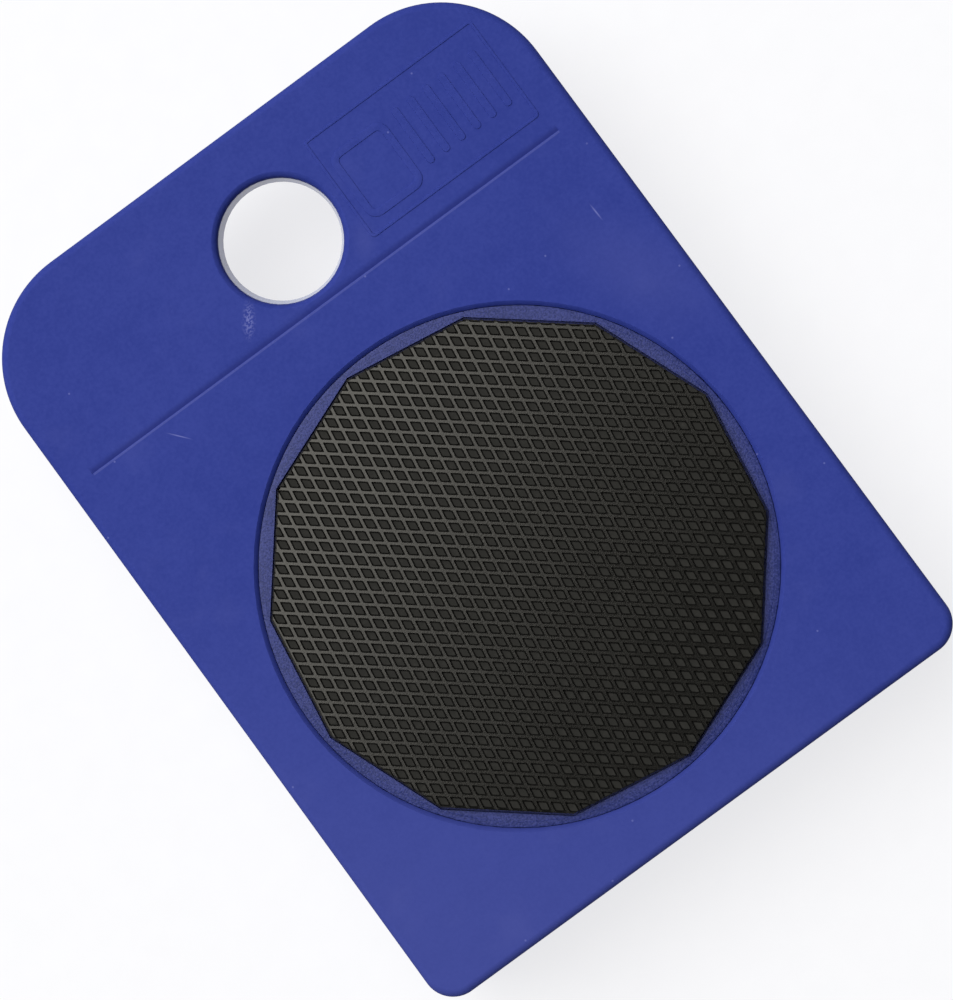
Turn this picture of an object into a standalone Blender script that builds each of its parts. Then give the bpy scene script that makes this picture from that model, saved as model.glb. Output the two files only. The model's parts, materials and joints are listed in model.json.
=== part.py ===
"""Furniture moving roller, modelled in metres with +Z up.

A ribbed plastic body on four wheels carries a turntable with a rubber grip pad.
The origin is on the floor, under the middle of the body. +Y points to the
handle end, where the finger hole is, and the axles lie along X.
"""

import math

import bmesh
import bpy
from mathutils import Matrix

# Clearances
FIT_GAP = 0.0003                # between pieces that are clamped, seated or glued
OVERCUT = 0.001                 # how far a cutter runs past the face that it opens

# Body, seen from above
WELL_RADIUS = 0.03285           # round well that takes the turntable
SIDE_LAND = 0.00715             # deck between the well and each side
REAR_LAND = 0.00639             # deck between the well and the rear edge
HANDLE_REACH = 0.03291          # deck from the well to the handle end
HANDLE_CORNER_RADIUS = 0.015
REAR_CORNER_RADIUS = 0.004
LEAST_CORNER_RADIUS = 0.0004    # inside the skirt, where the wall takes up the corner

# Body, as a moulding
EDGE_FILLET = 0.0012
SKIRT_WALL = 0.0026
DECK_THICKNESS = 0.0028
WELL_FLOOR_THICKNESS = 0.0027
RIB_WALL = 0.0016
CELL_SIZE_MAX = 0.0095          # widest open cell between two ribs
HANDLE_RISE = 0.008             # how far the underside climbs towards the handle end

# Finger hole
HOLE_RADIUS = 0.008             # just under the lip
HOLE_TAPER = 0.0009             # how much narrower the bore is at its foot
HOLE_FROM_END = 0.0152
HOLE_LIP = 0.001
HOLE_LIP_RAISE = 0.00005        # the lip's roll starts this far above the deck
COLLAR_WALL = 0.0026
COLLAR_DEPTH = 0.005            # from the deck down to the collar's foot
COLLAR_ROOM = 0.0004            # open ring round the space under the collar

# Score line across the deck
SCORE_FROM_WELL = 0.0081
SCORE_SIDE_MARGIN = 0.0037
SCORE_FALL = 0.0010             # long flank, on the handle's side
SCORE_RISE = 0.0002             # short steep flank
SCORE_DEPTH = 0.00014

# Turntable
TURNTABLE_GAP = 0.0006          # open ring between the disc and its well
TURNTABLE_THICKNESS = 0.0037
TURNTABLE_SET_BACK = 0.0003     # disc top below the deck
TURNTABLE_FILLET = 0.0004
TURNTABLE_REST_ANGLE = math.radians(6.2)
GLIDE_GAP = 0.0003              # between the disc and the well floor
GLIDE_LAND = 0.007              # width of the ring that the disc glides on
GLIDE_RELIEF = 0.0006           # how far the disc is hollowed inside that ring

# Grip pad
PAD_SIDES = 12
PAD_THICKNESS = 0.002
PAD_POCKET_DEPTH = 0.001
PAD_GAP = 0.00035               # between the pad's corners and its pocket's
PAD_CORNER_RIM = 0.0004         # disc left outside the pocket's corners
PAD_CHAMFER = 0.00025

# Pivot
SPIGOT_RADIUS = 0.006
SPIGOT_CLEARANCE = 0.00035
BOSS_WALL = 0.004
BOSS_DROP = 0.0046              # how far the boss hangs below the well floor
PIVOT_PLAY = 0.0002             # spigot end below the boss
WASHER_OVERLAP = 0.00265        # washer past the bore
WASHER_THICKNESS = 0.0015
WASHER_ROOM = 0.0025            # open ring round the washer
PIVOT_SCREW_RADIUS = 0.0022
PIVOT_SCREW_LENGTH = 0.0075
PIVOT_HEAD_RADIUS = 0.0042
PIVOT_HEAD_HEIGHT = 0.0026
SCREW_TIP_ROOM = 0.0006         # left free past the tip of a screw

# Wheels and axles
WHEEL_DIAMETER = 0.016
WHEEL_WIDTH = 0.012
WHEEL_FILLET = 0.001
WHEEL_CLEARANCE = 0.001         # between the tread and its pocket
WHEEL_SIDE_GAP = 0.0006
WHEEL_HUB_WALL = 0.0012
WHEEL_RIM_WALL = 0.0018
WHEEL_FACE_RECESS = 0.0008
AXLE_DIAMETER = 0.005
AXLE_CHAMFER = 0.0004
SADDLE_DEPTH = 0.0032           # how far an axle reaches into each rail

# Axle keepers and their screws
KEEPER_WIDTH = 0.006
KEEPER_THICKNESS = 0.002
KEEPER_RECESS = 0.0002          # keeper face above the foot of the body
KEEPER_PAST_AXLE = 0.003
KEEPER_CHAMFER = 0.0002
KEEPER_SCREW_FROM_AXLE = 0.013
KEEPER_SCREW_RADIUS = 0.0011
KEEPER_SCREW_LENGTH = 0.008
KEEPER_HEAD_RADIUS = 0.0022

# Facets
WELL_STEPS = 80
HOLE_STEPS = 48
BORE_STEPS = 32
WHEEL_STEPS = 28
SCREW_STEPS = 16
CORNER_STEPS = 10
FILLET_STEPS = 3
LIP_STEPS = 4
TREAD_EDGE_STEPS = 2
SMOOTH_ANGLE = math.radians(35)

# Heights, from the floor up
AXLE_HEIGHT = WHEEL_DIAMETER / 2
AXLE_RADIUS = AXLE_DIAMETER / 2
KEEPER_TOP = AXLE_HEIGHT - AXLE_RADIUS - FIT_GAP
KEEPER_FOOT = KEEPER_TOP - KEEPER_THICKNESS
BODY_FOOT = KEEPER_FOOT - KEEPER_RECESS
RAIL_FOOT = KEEPER_TOP + FIT_GAP
POCKET_CEILING = WHEEL_DIAMETER + WHEEL_CLEARANCE
WELL_FLOOR = POCKET_CEILING + WELL_FLOOR_THICKNESS
DISC_FOOT = WELL_FLOOR + GLIDE_GAP
DISC_TOP = DISC_FOOT + TURNTABLE_THICKNESS
DECK_TOP = DISC_TOP + TURNTABLE_SET_BACK
HANDLE_CEILING = DECK_TOP - DECK_THICKNESS
COLLAR_FOOT = DECK_TOP - COLLAR_DEPTH
PAD_FOOT = DISC_TOP - PAD_POCKET_DEPTH + FIT_GAP
BOSS_FOOT = POCKET_CEILING - BOSS_DROP
SPIGOT_FOOT = BOSS_FOOT - PIVOT_PLAY
WASHER_TOP = SPIGOT_FOOT - FIT_GAP
PIVOT_HEAD_TOP = WASHER_TOP - WASHER_THICKNESS - FIT_GAP
PIVOT_SCREW_TIP = PIVOT_HEAD_TOP + PIVOT_SCREW_LENGTH
KEEPER_SCREW_TIP = KEEPER_FOOT + KEEPER_SCREW_LENGTH

# Places seen from above
HALF_WIDTH = WELL_RADIUS + SIDE_LAND
BODY_LENGTH = REAR_LAND + 2 * WELL_RADIUS + HANDLE_REACH
REAR_END = -BODY_LENGTH / 2
HANDLE_END = BODY_LENGTH / 2
PIVOT_Y = REAR_END + REAR_LAND + WELL_RADIUS
SCORE_Y = PIVOT_Y + WELL_RADIUS + SCORE_FROM_WELL
HOLE_Y = HANDLE_END - HOLE_FROM_END
SKIRT_INSIDE = HALF_WIDTH - SKIRT_WALL
RAIL_WIDTH = KEEPER_WIDTH + 2 * FIT_GAP
POCKET_WIDTH = WHEEL_WIDTH + 2 * WHEEL_SIDE_GAP
POCKET_HALF_LENGTH = WHEEL_DIAMETER / 2 + WHEEL_CLEARANCE
POCKET_OUTER = SKIRT_INSIDE - RAIL_WIDTH
POCKET_INNER = POCKET_OUTER - POCKET_WIDTH
WHEEL_X = (POCKET_OUTER + POCKET_INNER) / 2
OUTER_RAIL_X = SKIRT_INSIDE - RAIL_WIDTH / 2
INNER_RAIL_X = POCKET_INNER - RAIL_WIDTH / 2
BAY_HALF_WIDTH = POCKET_INNER - RAIL_WIDTH
REAR_INSIDE = REAR_END + SKIRT_WALL
HANDLE_INSIDE = HANDLE_END - SKIRT_WALL
REAR_AXLE_Y = REAR_INSIDE + RIB_WALL + POCKET_HALF_LENGTH
FRONT_AXLE_Y = 2 * PIVOT_Y - REAR_AXLE_Y
FRONT_POCKET_END = FRONT_AXLE_Y + POCKET_HALF_LENGTH

# Sizes that follow from the fits
TURNTABLE_RADIUS = WELL_RADIUS - TURNTABLE_GAP
PAD_POCKET_RADIUS = TURNTABLE_RADIUS - PAD_CORNER_RIM
PAD_RADIUS = PAD_POCKET_RADIUS - PAD_GAP
SPIGOT_BORE = SPIGOT_RADIUS + SPIGOT_CLEARANCE
WASHER_RADIUS = SPIGOT_BORE + WASHER_OVERLAP
AXLE_BORE = AXLE_RADIUS + FIT_GAP
AXLE_LENGTH = POCKET_WIDTH + 2 * (SADDLE_DEPTH - FIT_GAP)
KEEPER_REAR_Y = REAR_AXLE_Y - AXLE_RADIUS - KEEPER_PAST_AXLE
KEEPER_FRONT_Y = FRONT_AXLE_Y + AXLE_RADIUS + KEEPER_PAST_AXLE
KEEPER_HEAD_HEIGHT = KEEPER_HEAD_RADIUS - KEEPER_SCREW_RADIUS

SIDES = {"left": -1, "right": 1}
AXLE_LINES = {"front": FRONT_AXLE_Y, "rear": REAR_AXLE_Y}
RAILS = {"outer": OUTER_RAIL_X, "inner": INNER_RAIL_X}
KEEPER_SCREW_LINES = {
    "front": FRONT_AXLE_Y - KEEPER_SCREW_FROM_AXLE,
    "rear": REAR_AXLE_Y + KEEPER_SCREW_FROM_AXLE,
}

# Turns an outline drawn in (x, y) into one that stands in (y, z), raised along x
STAND_ALONG_X = Matrix(((0, 0, 1), (1, 0, 0), (0, 1, 0))).to_4x4()


# Scene


def clear_scene():
    for item in list(bpy.data.objects):
        bpy.data.objects.remove(item, do_unlink=True)


def add_collection(name):
    collection = bpy.data.collections.new(name)
    bpy.context.scene.collection.children.link(collection)
    return collection


def add_material(name, colour, roughness, metallic=0.0):
    material = bpy.data.materials.new(name)
    material.use_nodes = True
    material.diffuse_color = (*colour, 1.0)
    shader = material.node_tree.nodes["Principled BSDF"]
    shader.inputs["Base Color"].default_value = (*colour, 1.0)
    shader.inputs["Roughness"].default_value = roughness
    shader.inputs["Metallic"].default_value = metallic
    return material


# Shapes


def add_object(name, mesh, collection):
    item = bpy.data.objects.new(name, mesh)
    collection.objects.link(item)
    return item


def mesh_from_bmesh(name, shape):
    mesh = bpy.data.meshes.new(name)
    shape.to_mesh(mesh)
    shape.free()
    return mesh


def box(name, low, high, collection):
    shape = bmesh.new()
    bmesh.ops.create_cube(shape, size=1.0)
    size = [top - bottom for bottom, top in zip(low, high)]
    middle = [(top + bottom) / 2 for bottom, top in zip(low, high)]
    bmesh.ops.scale(shape, vec=size, verts=shape.verts)
    bmesh.ops.translate(shape, vec=middle, verts=shape.verts)
    return add_object(name, mesh_from_bmesh(name, shape), collection)


def cylinder(name, radius, bottom, top, steps, collection):
    """A cylinder round the object's own Z axis; few steps make a regular prism."""
    shape = bmesh.new()
    bmesh.ops.create_cone(
        shape, cap_ends=True, segments=steps, radius1=radius, radius2=radius, depth=top - bottom
    )
    bmesh.ops.translate(shape, vec=(0, 0, (top + bottom) / 2), verts=shape.verts)
    return add_object(name, mesh_from_bmesh(name, shape), collection)


def prism(name, outline, bottom, top, collection, turn=None):
    """A flat outline raised from bottom to top, then turned."""
    curve = bpy.data.curves.new(name, "CURVE")
    curve.dimensions = "2D"
    curve.fill_mode = "BOTH"
    curve.extrude = (top - bottom) / 2
    spline = curve.splines.new("POLY")
    spline.points.add(len(outline) - 1)
    for point, place in zip(spline.points, outline):
        point.co = (*place, 0, 1)
    spline.use_cyclic_u = True
    sketch = add_object(name, curve, collection)
    sketch.location.z = (top + bottom) / 2
    bpy.context.view_layer.update()
    mesh = bpy.data.meshes.new_from_object(sketch.evaluated_get(bpy.context.evaluated_depsgraph_get()))
    place = sketch.matrix_world.copy()
    bpy.data.objects.remove(sketch)
    shape = bmesh.new()
    shape.from_mesh(mesh)
    bmesh.ops.remove_doubles(shape, verts=shape.verts, dist=1e-6)
    bmesh.ops.transform(shape, matrix=(turn or Matrix()) @ place, verts=shape.verts)
    bmesh.ops.recalc_face_normals(shape, faces=shape.faces)
    shape.to_mesh(mesh)
    shape.free()
    return add_object(name, mesh, collection)


def lathe(name, profile, steps, collection, closed=False):
    """A profile of (radius, height) points turned round Z; a closed one makes a ring."""
    mesh = bpy.data.meshes.new(name)
    links = [(i, i + 1) for i in range(len(profile) - 1)]
    if closed:
        links.append((len(profile) - 1, 0))
    mesh.from_pydata([(radius, 0, height) for radius, height in profile], links, [])
    item = add_object(name, mesh, collection)
    turn = item.modifiers.new("turn", "SCREW")
    turn.steps = steps
    turn.render_steps = steps
    turn.use_merge_vertices = True
    turn.merge_threshold = 1e-5
    return item


def arc(centre_x, centre_y, radius, start, end, steps):
    """Points on an arc, from start to end in degrees."""
    angles = [math.radians(start + (end - start) * i / steps) for i in range(steps + 1)]
    return [(centre_x + radius * math.cos(a), centre_y + radius * math.sin(a)) for a in angles]


def slot_outline(length, width, centre_x, centre_y):
    """A slot along X with half-round ends."""
    reach = (length - width) / 2
    right = arc(centre_x + reach, centre_y, width / 2, -90, 90, CORNER_STEPS)
    left = arc(centre_x - reach, centre_y, width / 2, 90, 270, CORNER_STEPS)
    return right + left


def body_outline(inset):
    """The body seen from above, or the same outline moved in by the given distance."""
    front = max(HANDLE_CORNER_RADIUS - inset, LEAST_CORNER_RADIUS)
    rear = max(REAR_CORNER_RADIUS - inset, LEAST_CORNER_RADIUS)
    side = HALF_WIDTH - inset
    front_end = HANDLE_END - inset
    rear_end = REAR_END + inset
    return (
        arc(side - front, front_end - front, front, 0, 90, CORNER_STEPS)
        + arc(front - side, front_end - front, front, 90, 180, CORNER_STEPS)
        + arc(rear - side, rear_end + rear, rear, 180, 270, CORNER_STEPS)
        + arc(side - rear, rear_end + rear, rear, 270, 360, CORNER_STEPS)
    )


def boolean(item, other, operation):
    step = item.modifiers.new(other.name, "BOOLEAN")
    step.object = other
    step.operation = operation
    step.solver = "EXACT"


def cut(item, cutter):
    boolean(item, cutter, "DIFFERENCE")


def bevel(item, width, segments, angle=math.radians(60)):
    step = item.modifiers.new("edges", "BEVEL")
    step.width = width
    step.segments = segments
    step.limit_method = "ANGLE"
    step.angle_limit = angle


def mirror_about(item, axes):
    """Copies a cutter to the other sides of its object's own origin."""
    step = item.modifiers.new("sides", "MIRROR")
    step.use_axis = axes
    step.merge_threshold = 1e-5


def finish(item, material):
    """Applies the modifiers, then shades round faces smooth and keeps the edges crisp."""
    bpy.context.view_layer.update()
    mesh = bpy.data.meshes.new_from_object(item.evaluated_get(bpy.context.evaluated_depsgraph_get()))
    item.modifiers.clear()
    item.data = mesh
    mesh.name = item.name
    mesh.shade_smooth()
    mesh.set_sharp_from_angle(angle=SMOOTH_ANGLE)
    mesh.materials.clear()
    mesh.materials.append(material)


# Body


def rib_cells(name, low, high, cutters):
    """Open cells that leave ribs between them; the count follows from the size of the field."""
    counts = []
    sizes = []
    for bottom, top in zip(low[:2], high[:2]):
        count = math.ceil((top - bottom + RIB_WALL) / (CELL_SIZE_MAX + RIB_WALL))
        counts.append(count)
        sizes.append((top - bottom - (count - 1) * RIB_WALL) / count)
    cell = box(name, low, (low[0] + sizes[0], low[1] + sizes[1], high[2]), cutters)
    for axis in (0, 1):
        pattern = cell.modifiers.new("rows" if axis else "columns", "ARRAY")
        pattern.count = counts[axis]
        pattern.use_relative_offset = False
        pattern.use_constant_offset = True
        offset = [0, 0, 0]
        offset[axis] = sizes[axis] + RIB_WALL
        pattern.constant_offset_displace = offset
    return cell


def handle_cells(cutters):
    """Cells under the handle, kept inside the skirt and off the finger hole's collar."""
    cells = rib_cells(
        "handle_cells",
        (-SKIRT_INSIDE, FRONT_POCKET_END + RIB_WALL, BODY_FOOT - OVERCUT),
        (SKIRT_INSIDE, HANDLE_INSIDE, HANDLE_CEILING),
        cutters,
    )
    inside = prism(
        "skirt_inside", body_outline(SKIRT_WALL), BODY_FOOT - 2 * OVERCUT, DECK_TOP, cutters
    )
    boolean(cells, inside, "INTERSECT")
    collar = cylinder(
        "collar", HOLE_RADIUS + COLLAR_WALL, BODY_FOOT - 2 * OVERCUT, DECK_TOP, HOLE_STEPS, cutters
    )
    collar.location.y = HOLE_Y
    collar.rotation_euler.z = math.pi / HOLE_STEPS  # half a facet, clear of the bore's own edges
    cut(cells, collar)
    return cells


def middle_cells(cutters):
    """Cells between the two inner rails, under the turntable."""
    return rib_cells(
        "middle_cells",
        (-BAY_HALF_WIDTH, REAR_INSIDE, BODY_FOOT - OVERCUT),
        (BAY_HALF_WIDTH, FRONT_POCKET_END, POCKET_CEILING),
        cutters,
    )


def side_cells(cutters):
    """Cells between the front and the rear wheel, on both sides."""
    reach = FRONT_AXLE_Y - POCKET_HALF_LENGTH - RIB_WALL
    cells = rib_cells(
        "side_cells",
        (POCKET_INNER, 2 * PIVOT_Y - reach, BODY_FOOT - OVERCUT),
        (POCKET_OUTER, reach, POCKET_CEILING),
        cutters,
    )
    mirror_about(cells, (True, False, False))
    return cells


def handle_underside(cutters):
    """The wedge that lifts the underside towards the handle end."""
    slope = HANDLE_RISE / (HANDLE_END - SCORE_Y)
    start = SCORE_Y - OVERCUT
    end = HANDLE_END + OVERCUT
    below = BODY_FOOT - OVERCUT
    outline = [
        (start, BODY_FOOT - slope * OVERCUT),
        (start, below),
        (end, below),
        (end, BODY_FOOT + HANDLE_RISE + slope * OVERCUT),
    ]
    reach = HALF_WIDTH + OVERCUT
    return prism("handle_underside", outline, -reach, reach, cutters, STAND_ALONG_X)


def pivot_boss(cutters):
    """Ring under the well floor that the spigot turns in."""
    boss = cylinder(
        "pivot_boss",
        SPIGOT_BORE + BOSS_WALL,
        BOSS_FOOT - OVERCUT,
        POCKET_CEILING + WELL_FLOOR_THICKNESS / 2,
        BORE_STEPS,
        cutters,
    )
    boss.location.y = PIVOT_Y
    return boss


def washer_room(cutters):
    """Open space below the boss for the washer and the screw head."""
    room = cylinder(
        "washer_room", WASHER_RADIUS + WASHER_ROOM, BODY_FOOT - OVERCUT, BOSS_FOOT, BORE_STEPS, cutters
    )
    room.location.y = PIVOT_Y
    return room


def wheel_pockets(cutters):
    pocket = box(
        "wheel_pockets",
        (POCKET_INNER, FRONT_AXLE_Y - PIVOT_Y - POCKET_HALF_LENGTH, BODY_FOOT - OVERCUT),
        (POCKET_OUTER, FRONT_AXLE_Y - PIVOT_Y + POCKET_HALF_LENGTH, POCKET_CEILING),
        cutters,
    )
    pocket.location.y = PIVOT_Y
    mirror_about(pocket, (True, True, False))
    return pocket


def axle_saddles(cutters):
    """Slots that are open below and half-round above, blind at both ends of the axle."""
    across = FRONT_AXLE_Y - PIVOT_Y
    outline = arc(across, AXLE_HEIGHT, AXLE_BORE, 0, 180, BORE_STEPS // 2) + [
        (across - AXLE_BORE, RAIL_FOOT - OVERCUT),
        (across + AXLE_BORE, RAIL_FOOT - OVERCUT),
    ]
    saddle = prism(
        "axle_saddles",
        outline,
        POCKET_INNER - SADDLE_DEPTH,
        POCKET_OUTER + SADDLE_DEPTH,
        cutters,
        STAND_ALONG_X,
    )
    saddle.location.y = PIVOT_Y
    mirror_about(saddle, (True, True, False))
    return saddle


def keeper_seats(cutters):
    """Steps in the rails that the keepers lie in; they open into the wheel pockets."""
    seats = []
    spans = {
        "outer": (POCKET_OUTER - OVERCUT / 2, SKIRT_INSIDE),
        "inner": (BAY_HALF_WIDTH - OVERCUT / 2, POCKET_INNER + OVERCUT / 2),
    }
    for rail, (near, far) in spans.items():
        seat = box(
            f"keeper_seats_{rail}",
            (near, KEEPER_REAR_Y - FIT_GAP, BODY_FOOT - OVERCUT),
            (far, KEEPER_FRONT_Y + FIT_GAP, RAIL_FOOT),
            cutters,
        )
        mirror_about(seat, (True, False, False))
        seats.append(seat)
    return seats


def keeper_pilot_holes(cutters):
    holes = []
    for rail, across in RAILS.items():
        for line, along in KEEPER_SCREW_LINES.items():
            hole = cylinder(
                f"keeper_holes_{rail}_{line}",
                KEEPER_SCREW_RADIUS + FIT_GAP,
                RAIL_FOOT - OVERCUT,
                KEEPER_SCREW_TIP + SCREW_TIP_ROOM,
                SCREW_STEPS,
                cutters,
            )
            hole.data.transform(Matrix.Translation((across, along, 0)))
            mirror_about(hole, (True, False, False))
            holes.append(hole)
    return holes


def turntable_well(cutters):
    well = cylinder("turntable_well", WELL_RADIUS, WELL_FLOOR, DECK_TOP + OVERCUT, WELL_STEPS, cutters)
    well.location.y = PIVOT_Y
    return well


def pivot_bore(cutters):
    bore = cylinder(
        "pivot_bore", SPIGOT_BORE, BOSS_FOOT - OVERCUT, WELL_FLOOR + OVERCUT, BORE_STEPS, cutters
    )
    bore.location.y = PIVOT_Y
    return bore


def finger_hole(cutters):
    """A tapered bore whose rim rolls over into the deck, and the room for a fingertip below it."""
    rim = HOLE_RADIUS + HOLE_LIP
    foot = HOLE_RADIUS - HOLE_TAPER
    room = HOLE_RADIUS + COLLAR_WALL + COLLAR_ROOM
    lip_centre = DECK_TOP + HOLE_LIP_RAISE - HOLE_LIP
    roll = arc(rim, lip_centre, HOLE_LIP, 90, 180, LIP_STEPS)
    profile = [(0, DECK_TOP + OVERCUT), (rim, DECK_TOP + OVERCUT)]
    profile += roll
    profile += [(foot, COLLAR_FOOT), (room, COLLAR_FOOT)]
    profile += [(room, BODY_FOOT - OVERCUT), (0, BODY_FOOT - OVERCUT)]
    hole = lathe("finger_hole", profile, HOLE_STEPS, cutters)
    hole.location.y = HOLE_Y
    return hole


def score_line(cutters):
    """A shallow line across the deck, whose flanks run on as far above the deck as below it."""
    outline = [
        (SCORE_Y, DECK_TOP - SCORE_DEPTH),
        (SCORE_Y + 2 * SCORE_FALL, DECK_TOP + SCORE_DEPTH),
        (SCORE_Y - 2 * SCORE_RISE, DECK_TOP + SCORE_DEPTH),
    ]
    reach = HALF_WIDTH - SCORE_SIDE_MARGIN
    return prism("score_line", outline, -reach, reach, cutters, STAND_ALONG_X)


def round_top_edge(body):
    """Rolls the deck's outer edge over into the skirt."""
    shape = bmesh.new()
    shape.from_mesh(body.data)
    weights = shape.edges.layers.float.new("bevel_weight_edge")
    for edge in shape.edges:
        on_deck = all(face.normal.z > 0.5 for face in edge.link_faces)
        on_top = all(abs(corner.co.z - DECK_TOP) < 1e-6 for corner in edge.verts)
        if on_top and not on_deck:
            edge[weights] = 1.0
    shape.to_mesh(body.data)
    shape.free()
    step = body.modifiers.new("top_edge", "BEVEL")
    step.width = EDGE_FILLET
    step.segments = FILLET_STEPS
    step.limit_method = "WEIGHT"


def make_base_body(parts, cutters, plastic):
    body = prism("base_body", body_outline(0), BODY_FOOT, DECK_TOP, parts)
    round_top_edge(body)
    cut(body, handle_underside(cutters))
    cut(body, handle_cells(cutters))
    cut(body, middle_cells(cutters))
    cut(body, side_cells(cutters))
    boolean(body, pivot_boss(cutters), "UNION")
    cut(body, washer_room(cutters))
    cut(body, wheel_pockets(cutters))
    cut(body, axle_saddles(cutters))
    for seat in keeper_seats(cutters):
        cut(body, seat)
    for hole in keeper_pilot_holes(cutters):
        cut(body, hole)
    cut(body, turntable_well(cutters))
    cut(body, pivot_bore(cutters))
    cut(body, finger_hole(cutters))
    cut(body, score_line(cutters))
    finish(body, plastic)
    return body


# Turntable, pad and pivot, all turned round the pivot axis


def make_turntable(parts, cutters, pivot, plastic):
    """Disc with a glide ring below, a hollow spigot, and a pocket for the pad on top."""
    pilot = PIVOT_SCREW_RADIUS + FIT_GAP
    rim_x = TURNTABLE_RADIUS - TURNTABLE_FILLET
    rim_z = DISC_TOP - TURNTABLE_FILLET
    rim = arc(rim_x, rim_z, TURNTABLE_FILLET, 90, 0, FILLET_STEPS)
    glide_inside = TURNTABLE_RADIUS - GLIDE_LAND
    hollow = DISC_FOOT + GLIDE_RELIEF
    pilot_top = PIVOT_SCREW_TIP + SCREW_TIP_ROOM
    profile = [(0, DISC_TOP)] + rim
    profile += [(TURNTABLE_RADIUS, DISC_FOOT), (glide_inside, DISC_FOOT), (glide_inside, hollow)]
    profile += [(SPIGOT_RADIUS, hollow), (SPIGOT_RADIUS, SPIGOT_FOOT), (pilot, SPIGOT_FOOT)]
    profile += [(pilot, pilot_top), (0, pilot_top)]
    disc = lathe("turntable", profile, WELL_STEPS, parts)
    disc.parent = pivot
    pocket = cylinder(
        "pad_pocket", PAD_POCKET_RADIUS, DISC_TOP - PAD_POCKET_DEPTH, DISC_TOP + OVERCUT, PAD_SIDES, cutters
    )
    pocket.parent = pivot
    cut(disc, pocket)
    finish(disc, plastic)


def make_grip_pad(parts, pivot, rubber):
    pad = cylinder("grip_pad", PAD_RADIUS, PAD_FOOT, PAD_FOOT + PAD_THICKNESS, PAD_SIDES, parts)
    pad.parent = pivot
    bevel(pad, PAD_CHAMFER, 1)
    finish(pad, rubber)


def make_pivot_washer(parts, pivot, steel):
    hole = PIVOT_SCREW_RADIUS + FIT_GAP
    foot = WASHER_TOP - WASHER_THICKNESS
    profile = [(hole, WASHER_TOP), (WASHER_RADIUS, WASHER_TOP), (WASHER_RADIUS, foot), (hole, foot)]
    washer = lathe("pivot_washer", profile, BORE_STEPS, parts, closed=True)
    washer.parent = pivot
    finish(washer, steel)


def make_pivot_screw(parts, pivot, steel):
    """Pan-head screw, head down."""
    dome = PIVOT_HEAD_HEIGHT / 2
    foot = PIVOT_HEAD_TOP - PIVOT_HEAD_HEIGHT
    point = PIVOT_SCREW_RADIUS / 2
    profile = [(0, PIVOT_SCREW_TIP), (point, PIVOT_SCREW_TIP), (PIVOT_SCREW_RADIUS, PIVOT_SCREW_TIP - point)]
    profile += [(PIVOT_SCREW_RADIUS, PIVOT_HEAD_TOP), (PIVOT_HEAD_RADIUS, PIVOT_HEAD_TOP)]
    profile += arc(PIVOT_HEAD_RADIUS - dome, foot + dome, dome, 0, -90, FILLET_STEPS)
    profile += [(0, foot)]
    screw = lathe("pivot_screw", profile, SCREW_STEPS, parts)
    screw.parent = pivot
    finish(screw, steel)


# Wheels and axles


def make_wheel(name, parts, nylon):
    """Wheel with a shallow recess in each face, turned round Z and then laid along X."""
    half = WHEEL_WIDTH / 2
    radius = WHEEL_DIAMETER / 2
    hub = AXLE_BORE + WHEEL_HUB_WALL
    rim = radius - WHEEL_RIM_WALL
    face = half - WHEEL_FACE_RECESS
    upper = [(AXLE_BORE, half), (hub, half), (hub, face), (rim, face), (rim, half)]
    upper += arc(radius - WHEEL_FILLET, half - WHEEL_FILLET, WHEEL_FILLET, 90, 0, TREAD_EDGE_STEPS)
    lower = [(across, -height) for across, height in reversed(upper)]
    wheel = lathe(name, upper + lower, WHEEL_STEPS, parts, closed=True)
    finish(wheel, nylon)
    wheel.data.transform(Matrix.Rotation(math.radians(90), 4, "Y"))
    return wheel


def make_axle(name, parts, steel):
    half = AXLE_LENGTH / 2
    end = [(0, half), (AXLE_RADIUS - AXLE_CHAMFER, half), (AXLE_RADIUS, half - AXLE_CHAMFER)]
    profile = end + [(across, -height) for across, height in reversed(end)]
    axle = lathe(name, profile, SCREW_STEPS, parts)
    finish(axle, steel)
    axle.data.transform(Matrix.Rotation(math.radians(90), 4, "Y"))
    return axle


# Axle keepers and their screws


def make_keeper(name, across, parts, cutters, steel):
    """Steel strip along Y with round ends and two countersunk holes."""
    length = KEEPER_FRONT_Y - KEEPER_REAR_Y
    middle = (KEEPER_FRONT_Y + KEEPER_REAR_Y) / 2
    outline = [(-y, x) for x, y in slot_outline(length, KEEPER_WIDTH, 0, 0)]
    keeper = prism(name, outline, KEEPER_FOOT, KEEPER_TOP, parts)
    keeper.location = (across, middle, 0)
    bevel(keeper, KEEPER_CHAMFER, 1)
    hole = KEEPER_SCREW_RADIUS + FIT_GAP
    mouth = KEEPER_HEAD_RADIUS + FIT_GAP
    for line, along in KEEPER_SCREW_LINES.items():
        profile = [(0, KEEPER_TOP + OVERCUT), (hole, KEEPER_TOP + OVERCUT)]
        profile += [(hole, KEEPER_FOOT + KEEPER_HEAD_HEIGHT), (mouth, KEEPER_FOOT)]
        profile += [(mouth, KEEPER_FOOT - OVERCUT), (0, KEEPER_FOOT - OVERCUT)]
        countersink = lathe(f"{name}_hole_{line}", profile, SCREW_STEPS, cutters)
        countersink.location = (across, along, 0)
        cut(keeper, countersink)
    finish(keeper, steel)
    return keeper


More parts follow.
